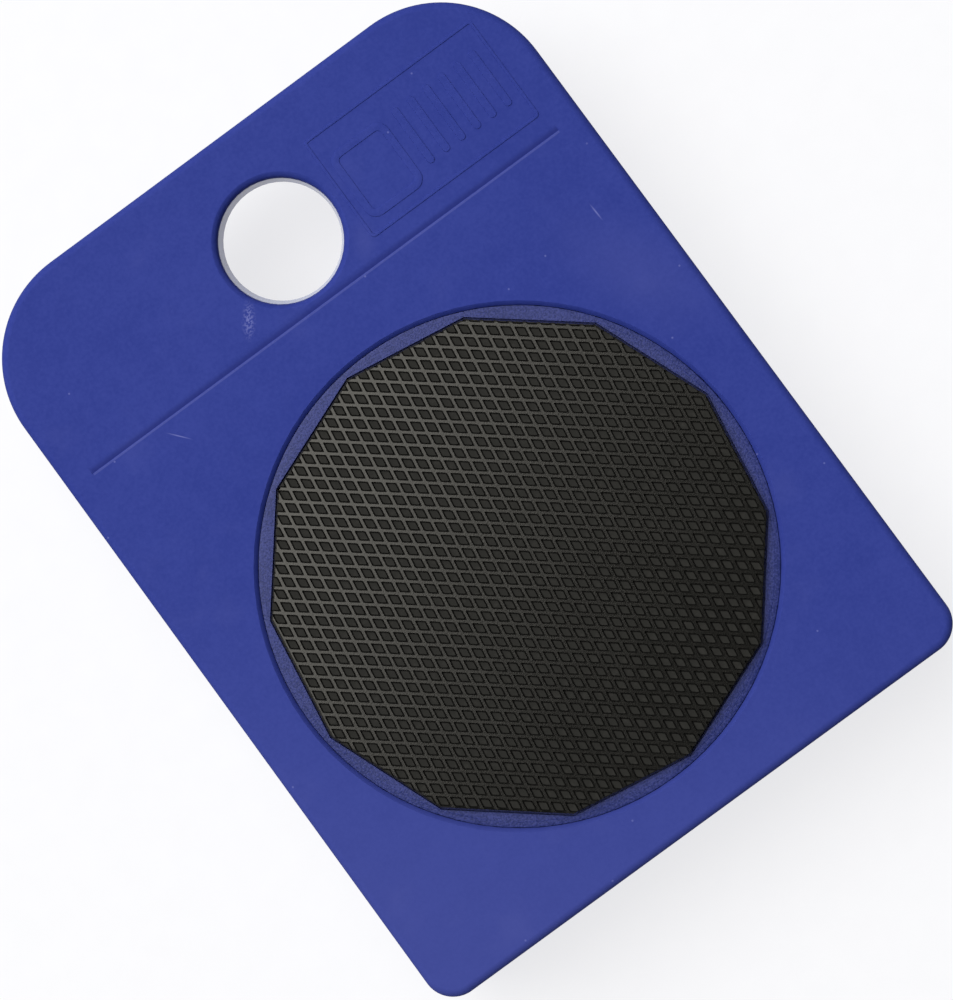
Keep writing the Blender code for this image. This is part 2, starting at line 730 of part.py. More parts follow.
def make_keeper_screw(name, parts, steel):
    """Countersunk screw, head down."""
    point = KEEPER_SCREW_RADIUS / 2
    profile = [
        (0, KEEPER_SCREW_TIP),
        (point, KEEPER_SCREW_TIP),
        (KEEPER_SCREW_RADIUS, KEEPER_SCREW_TIP - point),
        (KEEPER_SCREW_RADIUS, KEEPER_FOOT + KEEPER_HEAD_HEIGHT),
        (KEEPER_HEAD_RADIUS, KEEPER_FOOT),
        (0, KEEPER_FOOT),
    ]
    screw = lathe(name, profile, SCREW_STEPS, parts)
    finish(screw, steel)
    return screw


# Assembly


def add_empty(name, collection, parent=None):
    empty = bpy.data.objects.new(name, None)
    collection.objects.link(empty)
    empty.empty_display_size = HALF_WIDTH
    empty.parent = parent
    return empty


def main():
    clear_scene()
    parts = add_collection("furniture_moving_roller")
    cutters = add_collection("cutters")

    blue_plastic = add_material("blue_plastic", (0.034, 0.053, 0.287), 0.42)
    turntable_plastic = add_material("turntable_plastic", (0.042, 0.058, 0.25), 0.55)
    rubber = add_material("black_rubber", (0.022, 0.021, 0.019), 0.6)
    nylon = add_material("dark_nylon", (0.045, 0.047, 0.052), 0.45)
    axle_steel = add_material("axle_steel", (0.55, 0.55, 0.56), 0.28, 1.0)
    zinc_steel = add_material("zinc_plated_steel", (0.62, 0.63, 0.64), 0.38, 1.0)

    roller = add_empty("roller", parts)
    make_base_body(parts, cutters, blue_plastic).parent = roller

    pivot = add_empty("turntable_pivot", parts, roller)
    pivot.location.y = PIVOT_Y
    pivot.rotation_euler.z = TURNTABLE_REST_ANGLE
    make_turntable(parts, cutters, pivot, turntable_plastic)
    make_grip_pad(parts, pivot, rubber)
    make_pivot_washer(parts, pivot, zinc_steel)
    make_pivot_screw(parts, pivot, zinc_steel)

    for line, along in AXLE_LINES.items():
        for side, sign in SIDES.items():
            place = (sign * WHEEL_X, along, AXLE_HEIGHT)
            wheel = make_wheel(f"wheel_{line}_{side}", parts, nylon)
            axle = make_axle(f"axle_{line}_{side}", parts, axle_steel)
            for item in (wheel, axle):
                item.location = place
                item.parent = roller

    for rail, across in RAILS.items():
        for side, sign in SIDES.items():
            keeper = make_keeper(f"keeper_{side}_{rail}", sign * across, parts, cutters, zinc_steel)
            keeper.parent = roller
            for line, along in KEEPER_SCREW_LINES.items():
                screw = make_keeper_screw(f"keeper_screw_{side}_{rail}_{line}", parts, zinc_steel)
                screw.location = (sign * across, along, 0)
                screw.parent = roller

    for cutter in cutters.objects:
        cutter.hide_render = True
        cutter.display_type = "WIRE"


main()
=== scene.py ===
import json
import math

import bmesh
import bpy
from mathutils import Matrix, Vector

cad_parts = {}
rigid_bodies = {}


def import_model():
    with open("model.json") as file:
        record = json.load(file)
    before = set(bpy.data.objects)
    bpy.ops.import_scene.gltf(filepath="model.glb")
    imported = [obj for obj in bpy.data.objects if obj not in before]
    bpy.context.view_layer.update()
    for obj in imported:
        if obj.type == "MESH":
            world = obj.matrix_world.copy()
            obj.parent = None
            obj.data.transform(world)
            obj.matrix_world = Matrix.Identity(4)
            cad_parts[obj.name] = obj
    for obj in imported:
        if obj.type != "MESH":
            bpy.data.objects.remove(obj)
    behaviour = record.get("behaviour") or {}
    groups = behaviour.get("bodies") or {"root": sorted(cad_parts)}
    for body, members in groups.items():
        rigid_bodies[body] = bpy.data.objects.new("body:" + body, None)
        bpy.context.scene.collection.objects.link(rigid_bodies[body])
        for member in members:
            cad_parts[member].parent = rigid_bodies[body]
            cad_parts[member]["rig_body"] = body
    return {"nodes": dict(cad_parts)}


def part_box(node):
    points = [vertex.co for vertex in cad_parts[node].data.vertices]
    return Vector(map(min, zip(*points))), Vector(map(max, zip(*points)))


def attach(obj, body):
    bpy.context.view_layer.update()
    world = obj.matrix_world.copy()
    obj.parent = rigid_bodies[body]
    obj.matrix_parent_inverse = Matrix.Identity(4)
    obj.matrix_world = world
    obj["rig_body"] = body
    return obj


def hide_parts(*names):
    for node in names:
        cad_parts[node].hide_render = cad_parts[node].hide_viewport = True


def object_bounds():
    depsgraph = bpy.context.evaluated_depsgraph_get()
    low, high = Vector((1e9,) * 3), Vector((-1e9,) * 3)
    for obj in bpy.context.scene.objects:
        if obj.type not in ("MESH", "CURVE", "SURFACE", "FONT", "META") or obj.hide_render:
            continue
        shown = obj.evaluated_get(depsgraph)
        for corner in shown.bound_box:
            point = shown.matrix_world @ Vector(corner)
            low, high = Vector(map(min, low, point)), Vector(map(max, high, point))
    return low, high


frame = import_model()
cad_low, cad_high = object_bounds()
body_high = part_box("base_body")[1]

# Camera, read from the photograph: straight down but for a small lean, turned on its own axis
CAMERA_EYE = Vector((0.01126, -0.02190, 0.42400))
CAMERA_AIM = Vector((0.00064, -0.00354, 0.02400))
CAMERA_UP_BEARING = math.radians(53.78)
CAMERA_LENS = 115.65
CAMERA_SENSOR = 36

# Light: a key softbox on the bearing that the photograph's gloss shows, a weak one below, and a plain room
LIGHT_BEARING = 117
KEY_LEAN = 26
KEY_DISTANCE = 1.8
KEY_SIZE = 1.5
KEY_RADIANCE = 4.9
UNDER_LEAN = 165
UNDER_DISTANCE = 1.2
UNDER_SIZE = 1.0
UNDER_RADIANCE = 2.6
CEILING_GLOW = 0.06
WALL_GLOW = 0.14
LIT_WALL_GLOW = 0.50
FLOOR_SIZE = 8

# Grip pad tread, in the pad's own directions
CELL_PITCH = 0.001785
CELL_CORNER = math.radians(60)
CELL_LONG_BEARING = math.radians(-75)
CELL_SHIFT = (-0.03, 0.15)
BAND_WIDTH = 0.00033
GROOVE_WIDTH = 0.00019
GROOVE_DEPTH = 0.00045
WALL_SLOPE = 0.00003
TILE_CORNER = 0.00013
TILE_SINK = 0.00005
TILE_DISH = 0.00002
TILE_DISH_EDGE = 0.00010
PAD_SIDES = 12
PAD_CHAMFER = 0.00020

# Wheels, axles and screws
WHEEL_EDGE = 0.0011
WHEEL_RIM_WALL = 0.0018
WHEEL_HUB_WALL = 0.0012
WHEEL_RECESS = 0.0016
WHEEL_SEAM = 0.00006
WHEEL_SEAM_WIDTH = 0.0002
RUN_GAP = 0.00035
AXLE_CHAMFER = 0.0004
FINE_BEVEL = 0.00015
RIM_STEPS = 192
WHEEL_STEPS = 72
AXLE_STEPS = 48
SCREW_STEPS = 40
PIVOT_STEPS = 56
WASHER_STEPS = 72
CORNERS = [f"{end}_{side}" for end in ("front", "rear") for side in ("left", "right")]
THREAD_PITCH = 0.0007
SCREW_TURN = math.radians(137)

# The disc's sloped rim, and the chamfered edge of the well that it turns in
RIM_REACH = 0.00030
RIM_DROP = 0.00002
RIM_FALL = 0.00006
RIM_DEPTH = 0.0012
WELL_GAP = 0.0006
WELL_PULL = 0.00025
WELL_CHAMFER = 0.00055
WELL_PROFILE = 0.3

# The body's outline and its rolled edges
HANDLE_CORNER = 0.015
REAR_CORNER = 0.004
CORNER_FLAT = 0.2
CORNER_CUTS = 2
TOP_ROLL = 0.0011
FOOT_ROLL = 0.0004
ROLL_SEAM = 0.00008

# The line across the deck, with painted shade on its long flank and a painted highlight on its steep one
SCORE_Y = 0.02769
SCORE_REACH = 0.0363
SCORE_SHADE_WIDTH = 0.0009
SCORE_HIGHLIGHT_WIDTH = 0.00030
SCORE_SOFT = 0.0001

# The finger hole's wall, painted pale as a reflection, and the collar under it
HOLE_CENTRE = (0, 0.0373)
HOLE_WALL = 0.0080
HOLE_WALL_TOP = 0.0230
HOLE_SOFT = 0.0002
COLLAR_FOOT = 0.0190
COLLAR_REACH = 0.0111
COLLAR_LIFT = 0.0019
BORE_WIDEN = 1.06
BORE_SHIFT = (0.00012, 0.00016, 0)

# Painted sheen and worn places on the deck: where each is, its bearing, its length and its width
SHEEN_PATCHES = [
    ((0.0336, 0.0080, 0), 115, 0.016, 0.0080),
    ((0.0085, 0.0310, 0), 60, 0.004, 0.0022),
]
# A painted sheen that grows lighter towards the rear, along this bearing.
SHEEN_GRADIENT_BEARING = 234
SHEEN_GRADIENT_REACH = 0.065
SCUFF = ((-0.0091, 0.0315, 0), 54, 0.0032, 0.0011)
SCRATCHES = [
    ((0.0339, 0.0166, 0), 92, 0.0016, 0.00016),
    ((-0.0247, 0.0250, 0), -50, 0.0021, 0.00013),
]

# Blank panel beside the finger hole, from the part's middle
PANEL_CENTRE = (0.0225, 0.0380)
PANEL_SIZE = (0.0260, 0.0150)
PANEL_LINE = 0.0004
PANEL_CORNER = 0.0006
PANEL_RAISE = 0.00012
PANEL_BOX_CENTRE = (0.0150, 0.0372)
PANEL_BOX_SIZE = (0.0085, 0.0100)
PANEL_BOX_CORNER = 0.0016
RIB_FIRST = (0.0212, 0.0380)
RIB_PITCH = 0.0024
RIB_COUNT = 6
RIB_WIDTH = 0.0010
RIB_LENGTH = 0.0085

# Colours, as linear light
BLUE_DARK = (0.026, 0.043, 0.270, 1)
BLUE_PALE = (0.038, 0.057, 0.310, 1)
# Worn patches, and also the painted sheen on the deck.
BLUE_RUB_AND_SHEEN = (0.070, 0.088, 0.350, 1)
# Scratches, the scuff and specks, and also the painted highlight on the steep flank of the line across the
# deck.
BLUE_SCRATCH_AND_HIGHLIGHT = (0.150, 0.170, 0.470, 1)
# Painted shade on the long flank of the line across the deck.
BLUE_PAINTED_SHADE = (0.012, 0.018, 0.150, 1)
# Painted reflection: the hole wall's pale colour stands in for the white floor that the wall mirrors.
HOLE_WALL_PAINTED_REFLECTION = (0.420, 0.470, 0.740, 1)
DISC_DARK = (0.010, 0.019, 0.120, 1)
DISC_PALE = (0.042, 0.055, 0.235, 1)
TILE_CLEAN = (0.0135, 0.0135, 0.0120, 1)
TILE_DUSTY = (0.0250, 0.0242, 0.0215, 1)
BAND_CLEAN = (0.0030, 0.0030, 0.0026, 1)
BAND_DUSTY = (0.0070, 0.0066, 0.0055, 1)
# Painted shade in the grooves of the tread.
GROOVE_PAINTED_SHADE = (0.002, 0.002, 0.002, 1)
RUBBER_GLOSS = (1.00, 0.97, 0.88, 1)
NYLON_DARK = (0.60, 0.58, 0.53, 1)
NYLON_PALE = (0.70, 0.68, 0.63, 1)
NYLON_DIRT = (0.22, 0.21, 0.19, 1)
AXLE_DULL = (0.36, 0.35, 0.34, 1)
AXLE_BRIGHT = (0.58, 0.57, 0.56, 1)
KEEPER_DULL = (0.40, 0.41, 0.42, 1)
KEEPER_BRIGHT = (0.62, 0.63, 0.64, 1)
SCREW_DULL = (0.38, 0.36, 0.30, 1)
SCREW_BRIGHT = (0.66, 0.63, 0.55, 1)
PAPER_DARK = (0.220, 0.220, 0.223, 1)
PAPER_PALE = (0.250, 0.250, 0.253, 1)
PAPER_GLOW = (0.760, 0.760, 0.775, 1)
WHITE = (1, 1, 1, 1)

# Tolerances and directions
MERGE = 1e-6
SMOOTH_ANGLE = math.radians(35)
FLAT_ANGLE = math.radians(0.2)
UP = Vector((0, 0, 1))
ACROSS = Vector((1, 0, 0))


# Modelling steps

def make_active(piece):
    """Select one piece and nothing else."""
    bpy.ops.object.select_all(action="DESELECT")
    piece.select_set(True)
    bpy.context.view_layer.objects.active = piece


def start_piece(name, add, **settings):
    """Add a primitive at its place, with its object at the origin, and open it for editing."""
    bpy.ops.object.select_all(action="DESELECT")
    add(**settings)
    piece = bpy.context.object
    piece.name = name
    bpy.ops.object.transform_apply(location=True, rotation=True, scale=True)
    bpy.ops.object.mode_set(mode="EDIT")
    bpy.ops.mesh.select_mode(type="VERT")
    bpy.ops.mesh.select_all(action="SELECT")
    return piece


def pick(piece, kind, test):
    """In edit mode, select the verts, edges or faces that pass a test."""
    mode = {"verts": "VERT", "edges": "EDGE", "faces": "FACE"}[kind]
    bpy.ops.mesh.select_mode(type=mode)
    bpy.ops.mesh.select_all(action="DESELECT")
    mesh = bmesh.from_edit_mesh(piece.data)
    for element in getattr(mesh, kind):
        if test(element):
            element.select_set(True)
    mesh.select_flush_mode()
    bmesh.update_edit_mesh(piece.data)


def close_piece():
    """Merge doubles, turn the faces outwards and leave edit mode."""
    bpy.ops.mesh.select_all(action="SELECT")
    bpy.ops.mesh.remove_doubles(threshold=MERGE)
    bpy.ops.mesh.normals_make_consistent(inside=False)
    bpy.ops.object.mode_set(mode="OBJECT")


def apply_modifier(piece, kind, **settings):
    """Add a modifier, set it and apply it."""
    make_active(piece)
    bpy.ops.object.modifier_add(type=kind)
    modifier = piece.modifiers[-1]
    for name, value in settings.items():
        setattr(modifier, name, value)
    bpy.ops.object.modifier_apply(modifier=modifier.name)


def round_edges(piece, width, segments=2):
    """Round the sharp edges of a piece."""
    apply_modifier(piece, "BEVEL", width=width, segments=segments, limit_method="ANGLE",
                   angle_limit=SMOOTH_ANGLE, use_clamp_overlap=True)


def shade(piece):
    """Shade round stretches smooth and keep flat faces flat."""
    make_active(piece)
    bpy.ops.object.shade_smooth_by_angle(angle=SMOOTH_ANGLE)
    apply_modifier(piece, "WEIGHTED_NORMAL", keep_sharp=True, weight=80)


def copy_piece(piece, name, shift, turn=0.0, about=Vector()):
    """Another of the same piece, with a mesh of its own, turned about an upright line and moved."""
    mesh = piece.data.copy()
    mesh.transform(Matrix.Translation(-about))
    mesh.transform(Matrix.Rotation(turn, 4, "Z"))
    mesh.transform(Matrix.Translation(about + shift))
    twin = bpy.data.objects.new(name, mesh)
    bpy.context.scene.collection.objects.link(twin)
    return twin


def dress(piece, body, slot, finish, *nodes):
    """Give a finished piece its body, its material and the nodes that it stands for."""
    piece.data.materials.clear()
    piece.data.materials.append(finish)
    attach(piece, body)
    if nodes:
        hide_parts(*nodes)


def middle(node):
    """The centre of a node's box."""
    low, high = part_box(node)
    return (low + high) / 2


def arc(centre, radius, start, end, steps):
    """Points on an arc, from one bearing in degrees to another."""
    points = []
    for step in range(steps + 1):
        turn = math.radians(start + (end - start) * step / steps)
        points.append((centre[0] + radius * math.cos(turn), centre[1] + radius * math.sin(turn)))
    return points


def turned(name, profile, centre, axis, out, steps):
    """Turn a profile of (radius, height) points round an axis through the centre."""
    spots = [centre + out * radius + axis * height for radius, height in profile]
    piece = start_piece(name, bpy.ops.mesh.primitive_plane_add, size=0.001, location=spots[0])
    bpy.ops.mesh.merge(type="CENTER")
    for here, there in zip(spots, spots[1:]):
        bpy.ops.mesh.extrude_region_move(TRANSFORM_OT_translate={"value": there - here})
    bpy.ops.mesh.select_all(action="SELECT")
    bpy.ops.mesh.spin(steps=steps, angle=math.tau, center=centre, axis=axis)
    close_piece()
    return piece


# Nodes and materials

class Socket:
    """An output in a node tree. Sums on it add Math nodes, and add() adds any other node."""

    def __init__(self, tree, output=None):
        self.tree = tree
        self.output = output

    def add(self, kind, settings=None, inputs=None, output=0):
        """Add a node: its settings first, then the values or links of its sockets."""
        node = self.tree.nodes.new(kind)
        for name, value in (settings or {}).items():
            setattr(node, name, value)
        for key, value in (inputs or {}).items():
            if isinstance(value, Socket):
                self.tree.links.new(value.output, node.inputs[key])
            else:
                node.inputs[key].default_value = value
        return Socket(self.tree, node.outputs[output] if node.outputs else None)

    def maths(self, operation, first, second):
        return self.add("ShaderNodeMath", {"operation": operation}, {0: first, 1: second})

    def __add__(self, other):
        return self.maths("ADD", self, other)

    def __radd__(self, other):
        return self.maths("ADD", other, self)

    def __sub__(self, other):
        return self.maths("SUBTRACT", self, other)

    def __rsub__(self, other):
        return self.maths("SUBTRACT", other, self)

    def __mul__(self, other):
        return self.maths("MULTIPLY", self, other)

    def __rmul__(self, other):
        return self.maths("MULTIPLY", other, self)

    def most(self, other):
        return self.maths("MAXIMUM", self, other)

    def step(self, low, high):
        """A smooth step from 0 at low to 1 at high."""
        settings = {"interpolation_type": "SMOOTHSTEP"}
        return self.add("ShaderNodeMapRange", settings, {"Value": self, "From Min": low, "From Max": high})

    def blend(self, first, second):
        """The first colour where this value is 0, and the second where it is 1."""
        return self.add("ShaderNodeMix", {"data_type": "RGBA"}, {0: self, 6: first, 7: second}, 2)

    def noise(self, size, detail=2.0, roughness=0.5):
        """Noise whose features are about one size across, on these coordinates."""
        inputs = {"Vector": self, "Scale": 1 / size, "Detail": detail, "Roughness": roughness}
        return self.add("ShaderNodeTexNoise", None, inputs, "Fac")

    def axis(self, name):
        """One of the three values of these coordinates."""
        return self.add("ShaderNodeSeparateXYZ", None, {0: self}, name)

    def patch(self, centre, bearing, length, width):
        """1 in the middle of a long soft patch on the deck, and 0 outside it."""
        turn = (0, 0, bearing)
        inputs = {"Vector": self, "Location": centre, "Rotation": turn, "Scale": (length, width, 1)}
        local = self.add("ShaderNodeMapping", {"vector_type": "TEXTURE"}, inputs)
        reach = self.add("ShaderNodeVectorMath", {"operation": "LENGTH"}, {0: local}, "Value")
        return 1 - reach.step(0, 1)

    def dots(self, pitch, size, share):
        """Sparse round dots on the deck: a share of the cells of a pitch hold one."""
        settings = {"voronoi_dimensions": "2D"}
        inputs = {"Vector": self, "Scale": 1 / pitch}
        reach = self.add("ShaderNodeTexVoronoi", settings, inputs, "Distance")
        chance = self.add("ShaderNodeTexVoronoi", settings, inputs, "Color").axis("X")
        return (1 - reach.step(size / pitch / 4, size / pitch / 2)) * chance.step(1 - share, 1.02 - share)

    def bump(self, height, distance, strength=1.0):
        """A normal that follows a height, whose full range is one distance."""
        inputs = {"Strength": strength, "Distance": distance, "Height": height}
        return self.add("ShaderNodeBump", None, inputs)


def start_finish(name):
    """A new material, and the place on the piece that its patterns follow."""
    material = bpy.data.materials.new(name)
    material.use_nodes = True
    material.node_tree.nodes.clear()
    place = Socket(material.node_tree).add("ShaderNodeTexCoord", output="Object")
    return material, place


def end_finish(place, **inputs):
    """Close a material with its Principled shader, from socket names with _ for spaces."""
    named = {key.replace("_", " "): value for key, value in inputs.items()}
    shader = place.add("ShaderNodeBsdfPrincipled", None, named)
    place.add("ShaderNodeOutputMaterial", None, {"Surface": shader})


def sheen_and_worn_places(place):
    """Painted sheen on the deck, in broad pale patches and growing lighter towards the rear; and worn
    places: a frosty scuff, scratches and specks.
    """
    painted_sheen = 0
    for centre, bearing, length, width in SHEEN_PATCHES:
        painted_sheen = place.patch(centre, math.radians(bearing), length, width) + painted_sheen
    centre, bearing, length, width = SCUFF
    frost = place.noise(0.0003, 1).step(0.42, 0.62)
    scuff = place.patch(centre, math.radians(bearing), length, width) * frost
    marks = scuff + place.dots(0.0065, 0.00034, 0.16) * 0.6
    for centre, bearing, length, width in SCRATCHES:
        marks = marks + place.patch(centre, math.radians(bearing), length, width)
    # Painted sheen, growing lighter towards the rear.
    end = math.radians(SHEEN_GRADIENT_BEARING)
    aim = {0: place, 1: (math.cos(end), math.sin(end), 0)}
    along = place.add("ShaderNodeVectorMath", {"operation": "DOT_PRODUCT"}, aim, "Value")
    top = place.axis("Z").step(body_high.z - TOP_ROLL, body_high.z - TOP_ROLL / 2)
    return painted_sheen * 0.32 + along.step(0, SHEEN_GRADIENT_REACH) * 0.50, marks * top


def score_painted_light(place):
    """Painted shade on the long flank of the line across the deck, and a painted highlight on the steep one.
    """
    across = place.axis("Y")
    along = place.axis("X")
    end = SCORE_REACH - 2 * SCORE_SOFT
    inside = (1 - along.step(end, SCORE_REACH)) * along.step(-SCORE_REACH, -end)
    start = across.step(SCORE_Y - SCORE_SOFT, SCORE_Y)
    # Painted shade on the long flank.
    dirt = start * (1 - across.step(SCORE_Y + SCORE_SOFT, SCORE_Y + SCORE_SHADE_WIDTH))
    low = SCORE_Y - SCORE_HIGHLIGHT_WIDTH
    # Painted highlight on the steep flank.
    wear = across.step(low - SCORE_SOFT, low) * (1 - start)
    return inside * dirt, inside * wear


def bore_wall(place):
    """1 on the wall of the finger hole, where a painted pale reflection goes."""
    centre = (HOLE_CENTRE[0], HOLE_CENTRE[1], 0)
    local = place.add("ShaderNodeVectorMath", {"operation": "SUBTRACT"}, {0: place, 1: centre})
    flat = local.add("ShaderNodeVectorMath", {"operation": "MULTIPLY"}, {0: local, 1: (1, 1, 0)})
    reach = flat.add("ShaderNodeVectorMath", {"operation": "LENGTH"}, {0: flat}, "Value")
    near = 1 - reach.step(HOLE_WALL, HOLE_WALL + HOLE_SOFT)
    return near * (1 - place.axis("Z").step(HOLE_WALL_TOP - 2 * HOLE_SOFT, HOLE_WALL_TOP))


def body_plastic():
    """Blue moulded plastic: faint clouds, fine grain, worn patches, marks of use, painted sheen, painted
    shade and highlight on the line across the deck, and a painted pale reflection on the hole wall.
    """
    material, place = start_finish("body_plastic")
    clouds = place.noise(0.022, 3)
    mottle = place.noise(0.003, 3)
    speckle = place.noise(0.00045, 2)
    tone = clouds * 0.30 + mottle * 0.30 + speckle * 0.40
    shade_of_blue = tone.step(0.30, 0.70).blend(BLUE_DARK, BLUE_PALE)
    painted_sheen, marks = sheen_and_worn_places(place)
    # Painted shade and a painted highlight along the line across the deck.
    dirt, wear = score_painted_light(place)
    wall = bore_wall(place)
    # Random worn patches, plus the painted sheen.
    rub_and_sheen = place.noise(0.009, 4, 0.6).step(0.55, 0.85) * 0.25 + painted_sheen
    worn_and_sheen_blue = rub_and_sheen.blend(shade_of_blue, BLUE_RUB_AND_SHEEN)
    # Scratches, scuff and specks, plus the line's painted highlight.
    marked_and_highlit = (marks + wear * 0.28).blend(worn_and_sheen_blue, BLUE_SCRATCH_AND_HIGHLIGHT)
    # The line's painted shade.
    painted_score_shade = (dirt * 0.55).blend(marked_and_highlit, BLUE_PAINTED_SHADE)
    # The hole wall's painted pale reflection.
    mixed = wall.blend(painted_score_shade, HOLE_WALL_PAINTED_REFLECTION)
    grain = speckle * 0.6 + place.noise(0.0025, 2) * 0.4
    rough = 0.67 + mottle * 0.08
    normal = place.bump(grain, 0.000020, 0.7)
    end_finish(place, Base_Color=mixed, Roughness=rough, Normal=normal, IOR=1.49, Specular_IOR_Level=0.12,
               Coat_Weight=wall, Coat_Roughness=0.12, Coat_IOR=2.6)
    return material


def turntable_plastic():
    """The disc's rougher blue plastic, speckled by its mould."""
    material, place = start_finish("turntable_plastic")
    clouds = place.noise(0.012, 3)
    speckle = place.noise(0.00022, 2)
    tone = clouds * 0.25 + speckle * 0.75
    mixed = tone.step(0.34, 0.66).blend(DISC_DARK, DISC_PALE)
    normal = place.bump(speckle, 0.00004)
    end_finish(place, Base_Color=mixed, Roughness=0.40 + clouds * 0.12, Normal=normal, IOR=1.49,
               Specular_IOR_Level=0.25)
    return material


def grip_rubber(top):
    """Black rubber: satin bands, matt tiles and grooves darkened with painted shade, told apart by their
    height.
    """
    material, place = start_finish("grip_rubber")
    height = place.axis("Z")
    band = height.step(top - TILE_SINK * 0.7, top - TILE_SINK * 0.3)
    # Painted shade down in the grooves.
    painted_groove_shade = 1 - height.step(top - GROOVE_DEPTH * 0.9, top - TILE_SINK - TILE_DISH - 0.00001)
    dust = place.noise(0.0009, 3, 0.6).step(0.45, 0.85)
    tile = dust.blend(TILE_CLEAN, TILE_DUSTY)
    satin = dust.blend(BAND_CLEAN, BAND_DUSTY)
    face = band.blend(tile, satin)
    mixed = painted_groove_shade.blend(face, GROOVE_PAINTED_SHADE)
    wear = place.noise(0.006, 3)
    rough = 0.80 - band * 0.64 + wear * 0.06
    normal = place.bump(place.noise(0.00025, 2), 0.000004)
    end_finish(place, Base_Color=mixed, Roughness=rough, Normal=normal, IOR=1.42, Specular_Tint=RUBBER_GLOSS)
    return material


def wheel_nylon():
    """Pale nylon, a little grey where it rolls."""
    material, place = start_finish("wheel_nylon")
    clouds = place.noise(0.004, 3)
    dirt = place.noise(0.0012, 4, 0.6).step(0.52, 0.80)
    clean = clouds.blend(NYLON_DARK, NYLON_PALE)
    mixed = (dirt * 0.5).blend(clean, NYLON_DIRT)
    normal = place.bump(place.noise(0.0003, 2), 0.00001)
    end_finish(place, Base_Color=mixed, Roughness=0.38 + dirt * 0.2, Normal=normal, IOR=1.53)
    return material


def bright_steel(name, dark, pale, roughness, grain_stretch):
    """Plated steel with fine drawn lines and dull spots."""
    material, place = start_finish(name)
    stretched = place.add("ShaderNodeMapping", None, {"Vector": place, "Scale": grain_stretch})
    lines = stretched.noise(0.0003, 2)
    spots = place.noise(0.002, 4, 0.6).step(0.55, 0.80)
    mixed = (lines * 0.5 + spots * 0.5).blend(pale, dark)
    normal = place.bump(lines, 0.000006)
    end_finish(place, Base_Color=mixed, Roughness=roughness + spots * 0.25, Normal=normal, Metallic=1.0)
    return material


def floor_paper():
    """White paper that the camera and reflections see as white, and that still takes a shadow."""
    material, place = start_finish("floor_paper")
    camera = place.add("ShaderNodeLightPath", output="Is Camera Ray")
    glossy = place.add("ShaderNodeLightPath", output="Is Glossy Ray")
    through = place.add("ShaderNodeLightPath", output="Is Transmission Ray")
    seen = camera.most(glossy).most(through)
    fibre = place.noise(0.004, 3).blend(PAPER_DARK, PAPER_PALE)
    paper = place.add("ShaderNodeBsdfDiffuse", None, {"Color": fibre})
    glow = place.add("ShaderNodeEmission", None, {"Color": PAPER_GLOW, "Strength": seen})
    lit = place.add("ShaderNodeAddShader", None, {0: paper, 1: glow})
    clear = place.add("ShaderNodeBsdfTransparent")
    back = place.add("ShaderNodeNewGeometry", output="Backfacing")
    sheet = place.add("ShaderNodeMixShader", None, {0: back, 1: lit, 2: clear})
    place.add("ShaderNodeOutputMaterial", None, {"Surface": sheet})
    return material


# Pieces kept from the frame

def smoothed_node(node, name, edit=None):
    """A copy of a node with its triangles merged, edited if asked, and shaded smooth where it is round."""
    piece = bpy.data.objects.new(name, frame["nodes"][node].data.copy())
    bpy.context.scene.collection.objects.link(piece)
    make_active(piece)
    bpy.ops.mesh.customdata_custom_splitnormals_clear()
    bpy.ops.object.mode_set(mode="EDIT")
    bpy.ops.mesh.select_all(action="SELECT")
    bpy.ops.mesh.remove_doubles(threshold=MERGE)
    if edit:
        edit(piece)
    bpy.ops.object.mode_set(mode="OBJECT")
    shade(piece)
    return piece


def make_body(finish):
    """The body, with rolled outer edges, a chamfered well and a low collar under the finger hole."""
    body = smoothed_node("base_body", "body_moulding", refine_body)
    dress(body, "base", "body_plastic", finish, "base_body")


def corner_radius(spot):
    """The radius of the body's upright corner nearest to a place."""
    return HANDLE_CORNER if spot.y > 0 else REAR_CORNER


def past_corner(spot):
    """How far a place lies past the middle of its nearest corner, along X and along Y."""
    radius = corner_radius(spot)
    return abs(spot.x) - body_high.x + radius, abs(spot.y) - body_high.y + radius


def outside(spot):
    """How far a place lies outside the body's outline, seen from above. It is below 0 inside."""
    past_x, past_y = past_corner(spot)
    return math.hypot(max(past_x, 0), max(past_y, 0)) + min(max(past_x, past_y), 0) - corner_radius(spot)


def ease_corners(body):
    """Cut the flats of the four upright corners finer, and set the new points out on the true round."""
    def at_corner(spot):
        return min(past_corner(spot)) > -ROLL_SEAM and outside(spot) > -ROLL_SEAM

    def along_corner(edge):
        first, second = (vert.co for vert in edge.verts)
        short = edge.calc_length() < CORNER_FLAT * corner_radius(first)
        return short and at_corner(first) and at_corner(second)

    pick(body, "edges", along_corner)
    bpy.ops.mesh.subdivide(number_cuts=CORNER_CUTS)
    mesh = bmesh.from_edit_mesh(body.data)
    for vert in mesh.verts:
        if at_corner(vert.co):
            radius = corner_radius(vert.co)
            centre_x = math.copysign(body_high.x - radius, vert.co.x)
            centre_y = math.copysign(body_high.y - radius, vert.co.y)
            centre = Vector((centre_x, centre_y))
            vert.co.xy = centre + (vert.co.xy - centre).normalized() * radius
    bmesh.update_edit_mesh(body.data)


